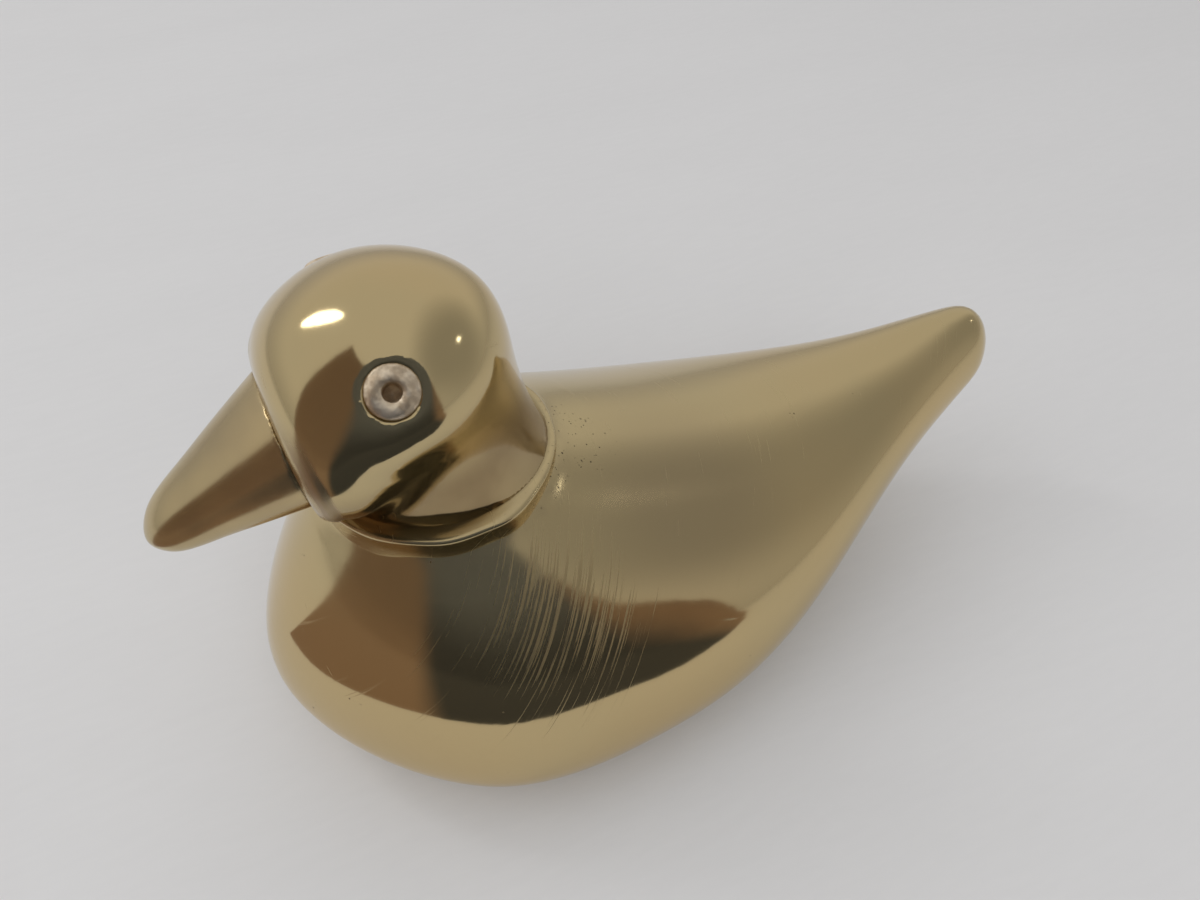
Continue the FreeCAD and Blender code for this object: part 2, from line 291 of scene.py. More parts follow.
def ahead_of_face(shader):
    """How far a place is ahead of the plane in which the bill meets the head."""
    made = shader.node("ShaderNodeVectorMath", operation="DOT_PRODUCT")
    shader.feed(made.inputs[0], shader.place)
    made.inputs[1].default_value = face_normal
    return shader.maths("SUBTRACT", made.outputs["Value"], throat.dot(face_normal))


def head_brass(looks):
    """The head's mirror polish, with a matte filed band behind the bill."""
    shader = Shader("head_brass")
    up = shader.axes(shader.place)[2]
    ahead = shader.plus(ahead_of_face(shader), shader.noise(300.0, 2.0), 0.6 * MM)
    band = shader.span(ahead, -2.3 * MM, -1.6 * MM)
    rim = shader.span(ahead, -0.5 * MM, -0.25 * MM)
    band = shader.plus(band, rim, -0.6)
    band = shader.maths("MULTIPLY", band, shader.span(up, 54 * MM, 58 * MM, 1.0, 0.0))
    marks_place = shader.turned((3000.0, 350.0, 350.0), (0.0, -FACE_LEAN, 0.0))
    marks = shader.noise(1.0, 3.0, marks_place, 0.6)
    cloud = shader.noise(45.0, 4.0)
    warm = shader.mixed(shader.span(cloud, 0.35, 0.7), looks.brass, looks.aged)
    fine_place = shader.turned((260.0, 1500.0, 1500.0), (0.0, math.radians(-30), math.radians(20)))
    fine = shader.noise(1.0, 2.0, fine_place, 0.6)
    lines = scratches(shader, 1500.0, 80.0, (math.radians(15), math.radians(40), 0.0), 0.74)
    seam = shader.span(up, seat_height + 0.05 * MM, seat_height + 0.3 * MM, 1.0, 0.0)
    colour = shader.mixed(shader.maths("MULTIPLY", seam, 0.4), warm, looks.grime_and_shade)
    # Darker brown towards the foot of the neck: partly brass that polishing doesn't reach, partly a painted
    # dark reflection.
    dull_foot_and_dark_reflection = shader.span(up, seat_height + 5 * MM, seat_height + 12 * MM, 1.0, 0.0)
    dull_foot_and_dark_reflection = shader.maths("MULTIPLY", dull_foot_and_dark_reflection, shader.span(shader.noise(110.0, 3.0), 0.25, 0.7, 0.55, 0.95))
    colour = shader.mixed(dull_foot_and_dark_reflection, colour, looks.dull_foot_and_dark_reflection)
    filed = shader.mixed(shader.span(marks, 0.35, 0.65), looks.filed, looks.tarnish)
    colour = shader.mixed(shader.maths("MULTIPLY", band, 0.85), colour, filed)
    rough = shader.plus(looks.polish, fine, 0.06)
    rough = shader.plus(rough, lines, 0.2)
    rough = shader.plus(rough, band, 0.3)
    height = shader.maths("SUBTRACT", shader.maths("MULTIPLY", fine, 0.4), lines)
    height = shader.plus(height, shader.maths("MULTIPLY", marks, band), 3.0)
    return shader.finish(colour, rough, shader.relief(height, looks.grain, 0.012 * MM))


def bill_brass(looks):
    """The bill is drawn and polished lengthwise, so its fine lines run to the tip."""
    shader = Shader("bill_brass")
    cloud = shader.noise(60.0, 4.0)
    warm = shader.mixed(shader.span(cloud, 0.35, 0.7), looks.brass, looks.aged)
    drawn_place = shader.turned((120.0, 1700.0, 1700.0), (0.0, BILL_LEAN, 0.0))
    drawn = shader.noise(1.0, 2.0, drawn_place, 0.6)
    # A dark line in the joint at the bill's root, strongest low down: partly dirt, partly painted shade in
    # the crevice under the filed step.
    root = shader.span(ahead_of_face(shader), 0.15 * MM, 0.55 * MM, 1.0, 0.0)
    up = shader.axes(shader.place)[2]
    root = shader.maths("MULTIPLY", root, shader.span(up, 50 * MM, 54 * MM, 1.0, 0.2))
    dull = shader.span(shader.noise(95.0, 3.0), 0.3, 0.7, 0.15, 0.6)
    colour = shader.mixed(dull, warm, looks.tarnish)
    colour = shader.mixed(shader.maths("MULTIPLY", root, 0.8), colour, looks.grime_and_shade)
    rough = shader.plus(looks.polish + 0.08, drawn, 0.12)
    rough = shader.plus(rough, root, 0.3)
    return shader.finish(colour, rough, shader.relief(drawn, looks.grain * 1.2, 0.015 * MM))


def eye_metal(looks):
    """Worn, lightly hammered white metal, dark down in the hole."""
    shader = Shader("eye_metal")
    dents, _ = shader.cells(1500.0)
    mottle = shader.noise(900.0, 4.0)
    colour = shader.mixed(shader.span(mottle, 0.35, 0.65), looks.ring, looks.ring_dull)
    rough = shader.span(mottle, 0.3, 0.7, 0.42, 0.62)
    height = shader.plus(dents, mottle, 0.5)
    return shader.finish(colour, rough, shader.relief(height, 0.55, 0.1 * MM))


def zinc(looks):
    """Zinc plated steel for the stud, washer and nut."""
    shader = Shader("zinc_steel")
    bloom = shader.noise(500.0, 4.0)
    colour = shader.mixed(shader.span(bloom, 0.35, 0.65), looks.zinc, looks.zinc_dull)
    rough = shader.span(bloom, 0.3, 0.7, 0.25, 0.45)
    fine = shader.noise(3500.0, 2.0)
    return shader.finish(colour, rough, shader.relief(fine, 0.2, 0.03 * MM))


# Forms

def linked(name, mesh):
    """A new object for a mesh, in the scene."""
    piece = bpy.data.objects.new(name, mesh)
    bpy.context.scene.collection.objects.link(piece)
    return piece


def set_mesh(piece, form):
    """Writes a form into a piece's mesh with smooth faces."""
    for face in form.faces:
        face.smooth = True
    form.to_mesh(piece.data)
    form.free()
    piece.data.update()


def casting(node, grain, passes, is_held):
    """A smooth skin over a node's solid: even faces, with its facets eased away."""
    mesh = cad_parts[node].data.copy()
    mesh.name = node + "_skin"
    mesh.materials.clear()
    piece = linked(node + "_finished", mesh)
    form = bmesh.new()
    form.from_mesh(mesh)
    bmesh.ops.remove_doubles(form, verts=form.verts, dist=0.002 * MM)
    set_mesh(piece, form)
    even = piece.modifiers.new("Even faces", "REMESH")
    even.mode = "VOXEL"
    even.voxel_size = grain
    graph = bpy.context.evaluated_depsgraph_get()
    skin = bpy.data.meshes.new_from_object(piece.evaluated_get(graph))
    piece.modifiers.clear()
    piece.data = skin
    form = bmesh.new()
    form.from_mesh(skin)
    free = [vert for vert in form.verts if not is_held(vert.co)]
    soften(form, free, passes)
    return piece, form


def soften(form, verts, passes):
    """Moves vertices towards their neighbours, a little at a time."""
    for _ in range(passes):
        bmesh.ops.smooth_vert(
            form, verts=verts, factor=0.5, use_axis_x=True, use_axis_y=True, use_axis_z=True,
        )


def replace_node(piece, node, slot, *materials):
    """The piece takes a node's place on the duck, with its finish."""
    for material in materials:
        piece.data.materials.append(material)
    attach(piece, "root")
    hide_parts(node)


def step_between(value, low, high):
    """A smooth step of a plain number, from nothing at the low value to one at the high."""
    share = min(max((value - low) / (high - low), 0.0), 1.0)
    return share * share * (3 - 2 * share)


def band_between(value, start, full, fading, end):
    """One inside a band of values, falling smoothly to nothing at both of its edges."""
    return step_between(value, start, full) * (1 - step_between(value, fading, end))


def held_nowhere(place):
    """For a casting whose whole skin is eased."""
    return False


def card_row(reach, height):
    """The point of the card's section that a place on the card belongs to."""
    def apart(row):
        return abs(CARD_PROFILE[row][0] - reach) + abs(CARD_PROFILE[row][1] - height)

    return min(range(len(CARD_PROFILE)), key=apart)


def from_neck(place):
    """How far a place is from the neck's upright axis."""
    return math.hypot(place.x - neck_axis.x, place.y - neck_axis.y)


# Sizes and colours

class DuckLooks(PropertyGroup):
    brass: FloatVectorProperty(
        name="Brass", description="Colour of the polished brass", subtype="COLOR",
        size=4, min=0.0, max=1.0, default=(0.62, 0.475, 0.25, 1.0),
    )
    aged: FloatVectorProperty(
        name="Aged brass", description="Greener brass where the polish has dulled", subtype="COLOR",
        size=4, min=0.0, max=1.0, default=(0.58, 0.465, 0.255, 1.0),
    )
    tarnish: FloatVectorProperty(
        name="Tarnish", description="Brown film round the neck and in the hollow", subtype="COLOR",
        size=4, min=0.0, max=1.0, default=(0.42, 0.33, 0.2, 1.0),
    )
    # Partly a painted dark reflection at the foot of the neck.
    dull_foot_and_dark_reflection: FloatVectorProperty(
        name="Foot of the neck", description="Brown brass that polishing doesn't reach", subtype="COLOR",
        size=4, min=0.0, max=1.0, default=(0.3, 0.215, 0.115, 1.0),
    )
    # Also used for painted shade in the crevice at the bill's root.
    grime_and_shade: FloatVectorProperty(
        name="Grime", description="Dark dirt in pits and seams", subtype="COLOR",
        size=4, min=0.0, max=1.0, default=(0.1, 0.075, 0.05, 1.0),
    )
    filed: FloatVectorProperty(
        name="Filed brass", description="Grey-brown band filed behind the bill", subtype="COLOR",
        size=4, min=0.0, max=1.0, default=(0.44, 0.34, 0.23, 1.0),
    )
    ring: FloatVectorProperty(
        name="Eye ring", description="Colour of the eye rings", subtype="COLOR",
        size=4, min=0.0, max=1.0, default=(0.95, 0.81, 0.62, 1.0),
    )
    ring_dull: FloatVectorProperty(
        name="Dull eye ring", description="Worn parts of the eye rings", subtype="COLOR",
        size=4, min=0.0, max=1.0, default=(0.7, 0.57, 0.41, 1.0),
    )
    zinc: FloatVectorProperty(
        name="Zinc", description="Colour of the plated fixings", subtype="COLOR",
        size=4, min=0.0, max=1.0, default=(0.62, 0.63, 0.64, 1.0),
    )
    zinc_dull: FloatVectorProperty(
        name="Dull zinc", description="Dull patches of the plated fixings", subtype="COLOR",
        size=4, min=0.0, max=1.0, default=(0.4, 0.41, 0.42, 1.0),
    )
    polish: FloatProperty(
        name="Polish", description="Roughness of the brightest brass", default=0.07, min=0.0, max=1.0,
    )
    satin: FloatProperty(
        name="Satin", description="Roughness that the back has above the flanks",
        default=0.1, min=0.0, max=1.0,
    )
    grain: FloatProperty(
        name="Grain", description="Strength of brush lines and scratches", default=0.25, min=0.0, max=1.0,
    )


class DuckForms(PropertyGroup):
    body_grain: FloatProperty(
        name="Body grain", description="Size of the body's faces", default=0.58 * MM,
        min=0.2 * MM, unit="LENGTH", precision=5,
    )
    head_grain: FloatProperty(
        name="Head grain", description="Size of the head's faces", default=0.32 * MM,
        min=0.1 * MM, unit="LENGTH", precision=5,
    )
    bill_grain: FloatProperty(
        name="Bill grain", description="Size of the bill's faces", default=0.22 * MM,
        min=0.1 * MM, unit="LENGTH", precision=5,
    )
    eye_grain: FloatProperty(
        name="Eye grain", description="Size of an eye's faces", default=0.11 * MM,
        min=0.05 * MM, unit="LENGTH", precision=5,
    )
    neck_radius: FloatProperty(
        name="Neck radius", description="Radius of the neck on its seat", default=13 * MM,
        min=1 * MM, unit="LENGTH", precision=5,
    )
    blend_width: FloatProperty(
        name="Blend width", description="How far the seat's flare blends into the body",
        default=6.0 * MM, min=0.0, unit="LENGTH", precision=5,
    )
    bead_width: FloatProperty(
        name="Bead width", description="Width of the bead round the foot of the neck",
        default=2.1 * MM, min=0.0, unit="LENGTH", precision=5,
    )
    bead_height: FloatProperty(
        name="Bead height", description="How far the bead stands above the seat",
        default=0.4 * MM, min=0.0, unit="LENGTH", precision=5,
    )
    bead_wobble: FloatProperty(
        name="Bead wobble", description="How much the hand-finished bead wavers, as a share of its width",
        default=0.2, min=0.0, max=0.5,
    )
    bead_fade: FloatProperty(
        name="Bead fade", description="How much narrower the bead is behind the neck, as a share",
        default=0.65, min=0.0, max=0.9,
    )
    eye_wear: FloatProperty(
        name="Eye wear", description="How far the outer edge of an eye ring is worn back",
        default=0.32 * MM, min=0.0, unit="LENGTH", precision=5,
    )
    face_rim: FloatProperty(
        name="Face rim", description="How far the filed rim behind the bill stands out",
        default=0.3 * MM, min=0.0, unit="LENGTH", precision=5,
    )
    cheek_tuck: FloatProperty(
        name="Cheek tuck", description="How far the cheeks draw in under the eyes, as a share",
        default=0.088, min=0.0, max=0.4,
    )
    thread_pitch: FloatProperty(
        name="Thread pitch", description="Pitch of the neck stud's thread", default=1 * MM,
        min=0.2 * MM, unit="LENGTH", precision=5,
    )
    thread_depth: FloatProperty(
        name="Thread depth", description="Depth of the neck stud's thread", default=0.55 * MM,
        min=0.0, unit="LENGTH", precision=5,
    )
    thread_sides: IntProperty(
        name="Thread sides", description="Faces round one turn of the thread", default=36, min=8,
    )


class DuckStage(PropertyGroup):
    table: FloatVectorProperty(
        name="Table", description="Colour of the pale table", subtype="COLOR",
        size=4, min=0.0, max=1.0, default=(0.77, 0.768, 0.778, 1.0),
    )
    table_width: FloatProperty(
        name="Table width", description="Width of the pale table", default=8.0, min=0.1, unit="LENGTH",
    )
    camera_place: FloatVectorProperty(
        name="Camera place", description="Where the camera stands", subtype="TRANSLATION",
        default=(-0.0449, -0.08204, 0.1237),
    )
    camera_aim: FloatVectorProperty(
        name="Camera aim", description="The point at the middle of the picture", subtype="TRANSLATION",
        default=(0.0016, 0.0139, 0.0144),
    )
    camera_roll: FloatProperty(
        name="Camera roll", description="Turn of the camera about its line of sight",
        default=math.radians(0.23), subtype="ANGLE",
    )
    view_width: FloatProperty(
        name="View width", description="The camera's angle from side to side",
        default=math.radians(62), subtype="ANGLE",
    )
    window_power: FloatProperty(
        name="Window power", description="Power of the window's lamps", default=2.9, min=0.0, unit="POWER",
    )
    sky_strength: FloatProperty(
        name="Sky strength", description="Strength of the even light from all round", default=0.62, min=0.0,
    )
    horizon_share: FloatProperty(
        name="Horizon share", description="How bright the room is at table height beside the rest",
        default=0.72, min=0.0, max=1.0,
    )
    dim_share: FloatProperty(
        name="Dim share", description="How bright the dim side of the room is beside the rest",
        default=0.56, min=0.0, max=1.0,
    )
    # Painted reflection: the dark card is seen only by the polished metal, where it paints a dark band.
    card: FloatVectorProperty(
        name="Card", description="Colour of the dark card before the duck", subtype="COLOR",
        size=4, min=0.0, max=1.0, default=(0.05, 0.055, 0.065, 1.0),
    )
    # Painted sheen: the card's paler upper part paints a grey sheen on the upper part of the dark band in
    # the brass.
    card_painted_sheen: FloatVectorProperty(
        name="Card top", description="Paler grey of the dark card's upper part", subtype="COLOR",
        size=4, min=0.0, max=1.0, default=(0.17, 0.19, 0.23, 1.0),
    )
    # Painted reflection: the card's warm ends paint warm brown reflections at both ends of the dark band in
    # the brass.
    card_ends_painted_reflection: FloatVectorProperty(
        name="Card ends", description="Warm colour of the dark card's ends", subtype="COLOR",
        size=4, min=0.0, max=1.0, default=(0.3, 0.21, 0.16, 1.0),
    )
    card_start: FloatProperty(
        name="Card start", description="Where the card begins, round from the front",
        default=math.radians(-100), subtype="ANGLE",
    )
    card_end: FloatProperty(
        name="Card end", description="Where the card ends, round from the front",
        default=math.radians(38), subtype="ANGLE",
    )


# Pieces

class DUCK_OT_body(Operator):
    """Finish the body: a blended seat, a polished outside and a bare cast hollow"""
    bl_idname = "duck.body"
    bl_label = "Body"

    def execute(self, context):
        looks, forms = context.scene.duck_looks, context.scene.duck_forms
        seat_edge = forms.neck_radius + 0.9 * MM
        seat_base = seat_height - 0.45 * MM
        rim_top = 0.35 * MM
        flare_start = 0.6 * MM
        flare_base = seat_height - 6.6 * MM

        def is_held(place):
            on_seat = place.z > seat_base and from_neck(place) < seat_edge
            return on_seat or place.z < rim_top

        piece, form = casting("body", forms.body_grain, passes=10, is_held=is_held)
        flare = []
        for vert in form.verts:
            reach = from_neck(vert.co) - forms.neck_radius
            if flare_start < reach < forms.blend_width and vert.co.z > flare_base:
                if not is_held(vert.co):
                    flare.append(vert)
        soften(form, flare, passes=14)
        form.normal_update()
        self.mark_hollow(form)
        set_mesh(piece, form)
        outside = body_brass(looks)
        replace_node(piece, "body", "body_brass", outside, inner_brass(looks))
        self.bead(forms, outside)
        return {"FINISHED"}

    def bead(self, forms, material):
        """The polished bead that fills the corner between the neck and its seat."""
        edge = forms.neck_radius
        width, height = forms.bead_width, forms.bead_height
        under_neck = 0.5 * MM
        crest_points = 6
        first_turn, turn_step = 84, 18
        fullness, flatness = 0.45, 0.8
        outward_fall = 0.1
        waver_scale = 160
        form = bmesh.new()
        outline = [form.verts.new((edge - under_neck, 0.0, height))]
        for step in range(crest_points):
            turn = math.radians(first_turn - turn_step * step)
            reach = width * math.cos(turn) ** fullness
            rise = math.copysign(height * abs(math.sin(turn)) ** flatness, turn)
            outline.append(form.verts.new((edge + reach, 0.0, rise - outward_fall * reach)))
        for share, drop in BEAD_UNDERSIDE:
            outline.append(form.verts.new((edge + width * share, 0.0, -drop)))
        edges = [form.edges.new(pair) for pair in zip(outline, outline[1:])]
        bmesh.ops.spin(
            form, geom=outline + edges, cent=(0.0, 0.0, 0.0), axis=(0.0, 0.0, 1.0),
            angle=2 * math.pi, steps=120, use_merge=True, use_duplicate=False,
        )
        bmesh.ops.translate(form, verts=form.verts, vec=Vector((neck_axis.x, 0.0, seat_height)))
        for vert in form.verts:
            outward = Vector((vert.co.x - neck_axis.x, vert.co.y, 0.0))
            reach = outward.length - edge
            back = step_between(outward.normalized().x, 0.1, 0.9)
            share = noise.noise(vert.co * waver_scale) * forms.bead_wobble - back * forms.bead_fade
            vert.co += outward.normalized() * (max(reach, 0.0) * share)
        bmesh.ops.recalc_face_normals(form, faces=form.faces)
        piece = linked("seat_bead", bpy.data.meshes.new("seat_bead"))
        set_mesh(piece, form)
        piece.data.materials.append(material)
        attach(piece, "root")

    def mark_hollow(self, form):
        """Gives the second finish to the faces that can be reached from the hollow's crown."""
        crown = Vector((neck_axis.x + 18 * MM, 0.0, seat_height))
        lowest, highest = 0.4 * MM, seat_height - 1 * MM
        looking_down = [face for face in form.faces if face.normal.z < -0.9]
        start = min(looking_down, key=lambda face: (face.calc_center_median() - crown).length)
        start.material_index = 1
        waiting = [start]
        while waiting:
            face = waiting.pop()
            for edge in face.edges:
                for beside in edge.link_faces:
                    height = beside.calc_center_median().z
                    if beside.material_index == 0 and lowest < height < highest:
                        beside.material_index = 1
                        waiting.append(beside)


class DUCK_OT_head(Operator):
    """Finish the head: a mirror polish, with a filed step behind the bill"""
    bl_idname = "duck.head"
    bl_label = "Head"

    def execute(self, context):
        looks, forms = context.scene.duck_looks, context.scene.duck_forms
        foot_top = seat_height + 0.3 * MM

        def is_held(place):
            return place.z < foot_top

        piece, form = casting("head", forms.head_grain, passes=8, is_held=is_held)
        for vert in form.verts:
            rise = vert.co.z - seat_height
            behind = (throat - vert.co).dot(face_normal)
            tuck = band_between(rise, 0.5 * MM, 10 * MM, 10.8 * MM, 18.2 * MM)
            vert.co.y *= 1 - forms.cheek_tuck * tuck * step_between(behind, 1.6 * MM, 8 * MM)
            rim = band_between(behind, -0.2 * MM, 0.5 * MM, 1.5 * MM, 2.3 * MM)
            rim *= 1 - step_between(vert.co.z, 53 * MM, 57 * MM)
            vert.co += vert.normal * (forms.face_rim * rim)
        set_mesh(piece, form)
        replace_node(piece, "head", "head_brass", head_brass(looks))
        return {"FINISHED"}


class DUCK_OT_bill(Operator):
    """Finish the bill, polished from root to tip"""
    bl_idname = "duck.bill"
    bl_label = "Bill"

    def execute(self, context):
        looks, forms = context.scene.duck_looks, context.scene.duck_forms
        piece, form = casting("bill", forms.bill_grain, passes=8, is_held=held_nowhere)
        set_mesh(piece, form)
        replace_node(piece, "bill", "bill_brass", bill_brass(looks))
        return {"FINISHED"}


class DUCK_OT_eyes(Operator):
    """Finish both eye rings: worn edges and light hammer marks"""
    bl_idname = "duck.eyes"
    bl_label = "Eyes"

    def execute(self, context):
        looks, forms = context.scene.duck_looks, context.scene.duck_forms
        material = eye_metal(looks)
        for node, side in (("left_eye", -1), ("right_eye", 1)):
            piece, form = casting(node, forms.eye_grain, passes=5, is_held=held_nowhere)
            low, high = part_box(node)
            centre = (low + high) / 2
            out = Vector((
                -math.cos(EYE_LIFT) * math.sin(EYE_TURN),
                side * math.cos(EYE_LIFT) * math.cos(EYE_TURN),
                math.sin(EYE_LIFT),
            ))
            for vert in form.verts:
                place = vert.co - centre
                reach = (place - out * place.dot(out)).length
                vert.co -= out * (forms.eye_wear * step_between(reach, 1.6 * MM, 2.7 * MM))
            set_mesh(piece, form)
            replace_node(piece, node, "eye_metal", material)
        return {"FINISHED"}


class DUCK_OT_fixings(Operator):
    """Finish the stud with its thread, and plate the washer and nut"""
    bl_idname = "duck.fixings"
    bl_label = "Fixings"

    def execute(self, context):
        looks, forms = context.scene.duck_looks, context.scene.duck_forms
        material = zinc(looks)
        radius = (stud_high.x - stud_low.x) / 2
        length = stud_high.z - stud_low.z
        pitch = forms.thread_pitch
        crest_start, crest_end = 0.42, 0.58
        core_radius = radius - forms.thread_depth * 0.9
        turns = int(length / pitch) - 1
        form = bmesh.new()
        outline = [
            form.verts.new((radius - forms.thread_depth, 0.0, 0.0)),
            form.verts.new((radius, 0.0, pitch * crest_start)),
            form.verts.new((radius, 0.0, pitch * crest_end)),
            form.verts.new((radius - forms.thread_depth, 0.0, pitch)),
        ]
        edges = [form.edges.new(pair) for pair in zip(outline, outline[1:])]
        steps = forms.thread_sides * turns
        bmesh.ops.spin(
            form, geom=outline + edges, cent=(0.0, 0.0, 0.0), axis=(0.0, 0.0, 1.0),
            dvec=(0.0, 0.0, pitch / forms.thread_sides), angle=2 * math.pi * turns,
            steps=steps, use_merge=False, use_duplicate=False,
        )
        bmesh.ops.remove_doubles(form, verts=form.verts, dist=0.01 * MM)
        core = bmesh.ops.create_cone(
            form, cap_ends=True, segments=forms.thread_sides,
            radius1=core_radius, radius2=core_radius, depth=length,
        )["verts"]
        middle = Vector((0.0, 0.0, length / 2))
        bmesh.ops.translate(form, verts=core, vec=middle)
        bmesh.ops.translate(
            form, verts=form.verts, vec=Vector((neck_axis.x, neck_axis.y, stud_low.z)),
        )
        low_cut, high_cut = stud_low.z + 0.3 * MM, stud_high.z - 0.3 * MM
        for vert in form.verts:
            if vert not in core:
                vert.co.z = min(max(vert.co.z, low_cut), high_cut)
        bmesh.ops.recalc_face_normals(form, faces=form.faces)
        piece = linked("threaded_stud", bpy.data.meshes.new("threaded_stud"))
        set_mesh(piece, form)
        replace_node(piece, "neck_stud", "fixing_steel", material)
        for node in ("neck_washer", "neck_nut"):
            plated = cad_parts[node]
            plated.data.materials.clear()
            plated.data.materials.append(material)
        return {"FINISHED"}


class DUCK_OT_stage(Operator):
    """Set the duck on a pale table under soft light, and place the camera"""
    bl_idname = "duck.stage"
    bl_label = "Stage"

    def execute(self, context):
        stage = context.scene.duck_stage
        self.table(stage)
        self.flag(stage)
        self.room(stage)
        self.lamps(stage)
        self.camera(context, stage)
        return {"FINISHED"}

    def table(self, stage):
        shader = Shader("table_paper")
        fibres = shader.noise(1.0, 3.0, shader.turned((160.0, 700.0, 700.0)))
        broad = shader.noise(1.0, 3.0, shader.turned((14.0, 40.0, 40.0)))
        shade = [channel * 0.93 for channel in stage.table[:3]] + [1.0]
        toning = shader.maths("MULTIPLY", shader.span(broad, 0.3, 0.7), 0.2)
        toning = shader.maths("ADD", toning, shader.maths("MULTIPLY", fibres, 0.5), clamp=True)
        colour = shader.mixed(toning, stage.table, shade)
        shader.finish(colour, 0.75, shader.relief(fibres, 0.2, 0.15 * MM), 0.0)
        form = bmesh.new()
        bmesh.ops.create_grid(form, x_segments=8, y_segments=8, size=stage.table_width / 2)
        piece = linked("table", bpy.data.meshes.new("table"))
        set_mesh(piece, form)
        piece.data.materials.append(shader.material)

    def flag(self, stage):
        """A curved card that only the polished metal sees: a painted dark reflection, paler higher up as a
        painted sheen, with warm brown ends that paint warm reflections.
        """
        shader = Shader("card")
        side, front, up = shader.axes(shader.place)
        round_about = shader.maths("ARCTAN2", side, shader.maths("MULTIPLY", front, -1.0))
        # Painted reflection: the warm brown ends paint warm reflections at both ends of the dark band in
        # the brass.
        right_end = shader.span(round_about, math.radians(28), math.radians(36))
        left_end = shader.span(round_about, math.radians(-62), math.radians(-50), 1.0, 0.0)
        ends = shader.maths("MAXIMUM", left_end, right_end)
        # Painted sheen: the card is paler higher up, which paints a grey sheen on the upper part of the
        # dark band in the brass.
        middle = shader.mixed(shader.span(up, 0.02, 0.4), stage.card, stage.card_painted_sheen)
        shader.finish(shader.mixed(ends, middle, stage.card_ends_painted_reflection), 0.9, None, 0.0)
        form = bmesh.new()
        sweep = [form.verts.new((0.0, -reach, height)) for reach, height in CARD_PROFILE]
        edges = [form.edges.new(pair) for pair in zip(sweep, sweep[1:])]
        start, end = stage.card_start, stage.card_end
        bmesh.ops.rotate(
            form, verts=form.verts, cent=(0.0, 0.0, 0.0), matrix=Matrix.Rotation(start, 3, "Z"),
        )
        bmesh.ops.spin(
            form, geom=sweep + edges, cent=(0.0, 0.0, 0.0), axis=(0.0, 0.0, 1.0),
            angle=end - start, steps=40, use_merge=False, use_duplicate=False,
        )
        for vert in form.verts:
            row = card_row(math.hypot(vert.co.x, vert.co.y), vert.co.z)
            turn = math.atan2(vert.co.x, -vert.co.y)
            share = step_between(turn, math.radians(-20), end)
            vert.co.xy = Matrix.Rotation(-math.radians(CARD_END_CUTS[row]) * share, 2) @ vert.co.xy
        piece = linked("card", bpy.data.meshes.new("card"))
        set_mesh(piece, form)
        piece.data.materials.append(shader.material)
        piece.visible_camera = False
        piece.visible_diffuse = False
        piece.visible_shadow = False
        piece.visible_transmission = False
        piece.visible_volume_scatter = False

    def room(self, stage):
        """Even light from all round, dimmer on one side and towards the table's height."""
        world = bpy.data.worlds.new("Soft room")
        world.use_nodes = True
        ground = world.node_tree.nodes["Background"]
        ground.inputs["Color"].default_value = (1.0, 0.99, 0.975, 1.0)
        nodes, links = world.node_tree.nodes, world.node_tree.links
        outward = nodes.new("ShaderNodeTexCoord")
        facing = nodes.new("ShaderNodeVectorMath")
        facing.operation = "DOT_PRODUCT"
        facing.inputs[1].default_value = DIM_SIDE
        links.new(outward.outputs["Generated"], facing.inputs[0])
        far, near = math.cos(math.radians(40)), math.cos(math.radians(8))
        bright, dim = stage.sky_strength, stage.sky_strength * stage.dim_share
        fade = self.smooth_range(nodes, far, near, bright, dim)
        links.new(facing.outputs["Value"], fade.inputs["Value"])
        upward = nodes.new("ShaderNodeSeparateXYZ")
        links.new(outward.outputs["Generated"], upward.inputs[0])
        horizon_top = math.sin(math.radians(24))
        dawn = self.smooth_range(nodes, -0.05, horizon_top, stage.horizon_share, 1.0)
        links.new(upward.outputs["Z"], dawn.inputs["Value"])
        strength = nodes.new("ShaderNodeMath")
        strength.operation = "MULTIPLY"
        links.new(fade.outputs["Result"], strength.inputs[0])
        links.new(dawn.outputs["Result"], strength.inputs[1])
        links.new(strength.outputs[0], ground.inputs["Strength"])
        bpy.context.scene.world = world

    def smooth_range(self, nodes, low, high, to_low, to_high):
        """A node that steps smoothly from one range of values to another."""
        made = nodes.new("ShaderNodeMapRange")
        made.interpolation_type = "SMOOTHSTEP"
        made.inputs["From Min"].default_value = low
        made.inputs["From Max"].default_value = high
        made.inputs["To Min"].default_value = to_low
        made.inputs["To Max"].default_value = to_high
        return made

    def lamps(self, stage):
        """A window and a small bright lamp, with wide soft light that the metal doesn't mirror."""
        self.lamp("window", (-0.427, 0.457, 0.647), (0.13, 0.42), stage.window_power * 0.2)
        self.lamp("spot", (0.785, -0.167, 0.562), (0.05, 0.05), stage.window_power * 0.012)
        wide = self.lamp("wide_window", (-0.8, 0.1, 0.8), (0.9, 0.9), stage.window_power * 0.5)
        fill = self.lamp("fill", (-0.2, -0.6, 0.55), (0.8, 0.8), stage.window_power * 0.52)
        for soft in (wide, fill):
            soft.visible_glossy = False

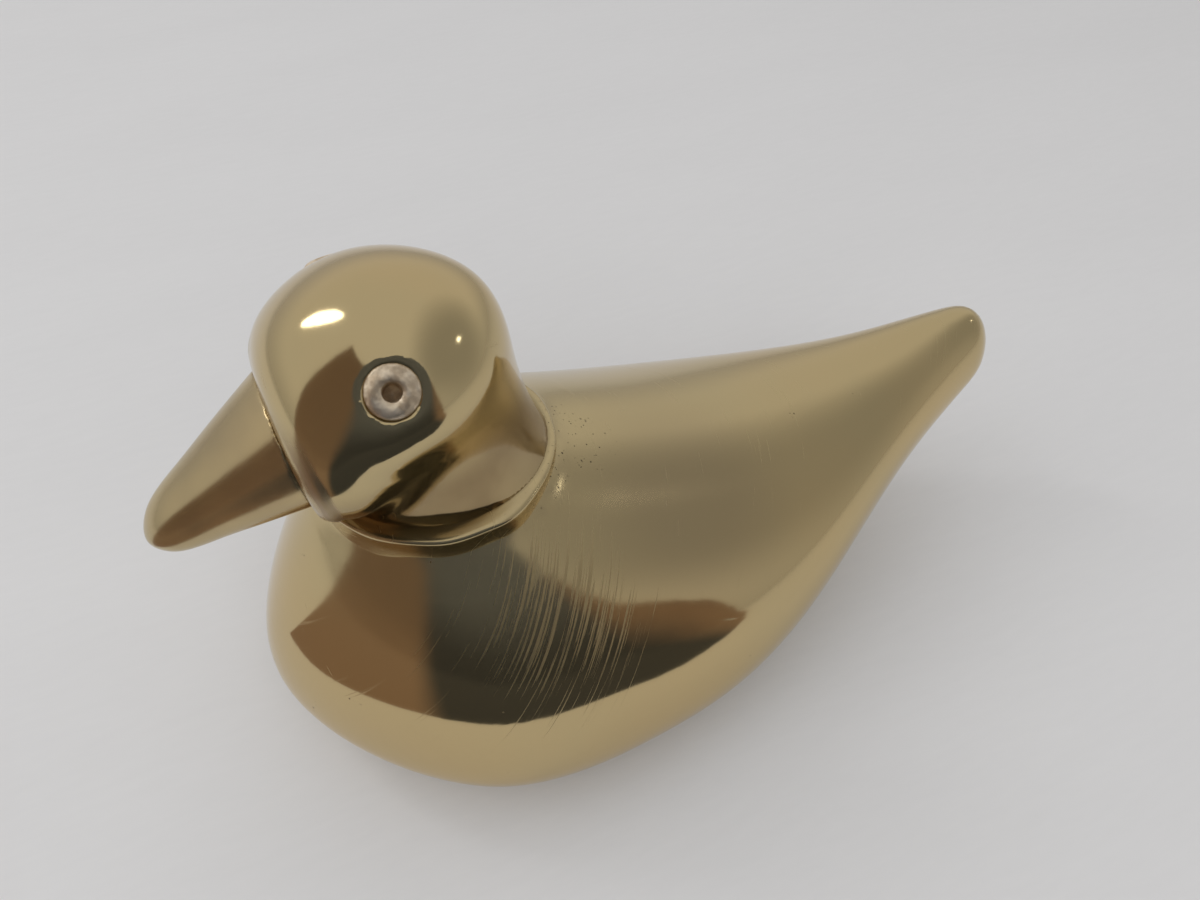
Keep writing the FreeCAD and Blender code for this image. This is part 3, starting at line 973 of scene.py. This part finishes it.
    def lamp(self, name, place, size, power):
        """An oval lamp that faces the duck."""
        light = bpy.data.lights.new(name, "AREA")
        light.shape = "ELLIPSE"
        light.size, light.size_y = size
        light.energy = power
        lamp = bpy.data.objects.new(name, light)
        lamp.location = place
        aim = Vector((0.0, 0.0, 0.03)) - lamp.location
        lamp.rotation_euler = aim.to_track_quat("-Z", "Y").to_euler()
        bpy.context.scene.collection.objects.link(lamp)
        return lamp

    def camera(self, context, stage):
        lens = bpy.data.cameras.new("camera")
        lens.sensor_fit = "HORIZONTAL"
        lens.angle = stage.view_width
        lens.clip_start = 0.005
        camera = bpy.data.objects.new("camera", lens)
        context.scene.collection.objects.link(camera)
        camera.location = stage.camera_place
        aim = Vector(stage.camera_aim) - camera.location
        turn = aim.to_track_quat("-Z", "Y").to_matrix()
        roll = Matrix.Rotation(stage.camera_roll, 3, "Z")
        camera.rotation_euler = (turn @ roll).to_euler()
        context.scene.camera = camera
        context.scene.view_settings.view_transform = "Standard"


PIECES = (DUCK_OT_body, DUCK_OT_head, DUCK_OT_bill, DUCK_OT_eyes, DUCK_OT_fixings, DUCK_OT_stage)


class DUCK_PT_panel(Panel):
    """The duck's pieces and settings"""
    bl_idname = "DUCK_PT_panel"
    bl_label = "Brass duck"
    bl_space_type = "VIEW_3D"
    bl_region_type = "UI"
    bl_category = "Duck"

    def draw(self, context):
        for piece in PIECES:
            self.layout.operator(piece.bl_idname)
        for group in (context.scene.duck_looks, context.scene.duck_forms, context.scene.duck_stage):
            box = self.layout.box()
            for name in group.bl_rna.properties.keys():
                if name not in ("rna_type", "name"):
                    box.prop(group, name)


CLASSES = (DuckLooks, DuckForms, DuckStage) + PIECES + (DUCK_PT_panel,)


def register():
    for item in CLASSES:
        bpy.utils.register_class(item)
    bpy.types.Scene.duck_looks = PointerProperty(type=DuckLooks)
    bpy.types.Scene.duck_forms = PointerProperty(type=DuckForms)
    bpy.types.Scene.duck_stage = PointerProperty(type=DuckStage)


def unregister():
    del bpy.types.Scene.duck_looks
    del bpy.types.Scene.duck_forms
    del bpy.types.Scene.duck_stage
    for item in reversed(CLASSES):
        bpy.utils.unregister_class(item)


def main():
    register()
    bpy.ops.duck.body()
    bpy.ops.duck.head()
    bpy.ops.duck.bill()
    bpy.ops.duck.eyes()
    bpy.ops.duck.fixings()
    bpy.ops.duck.stage()


if __name__ == "__main__":
    main()
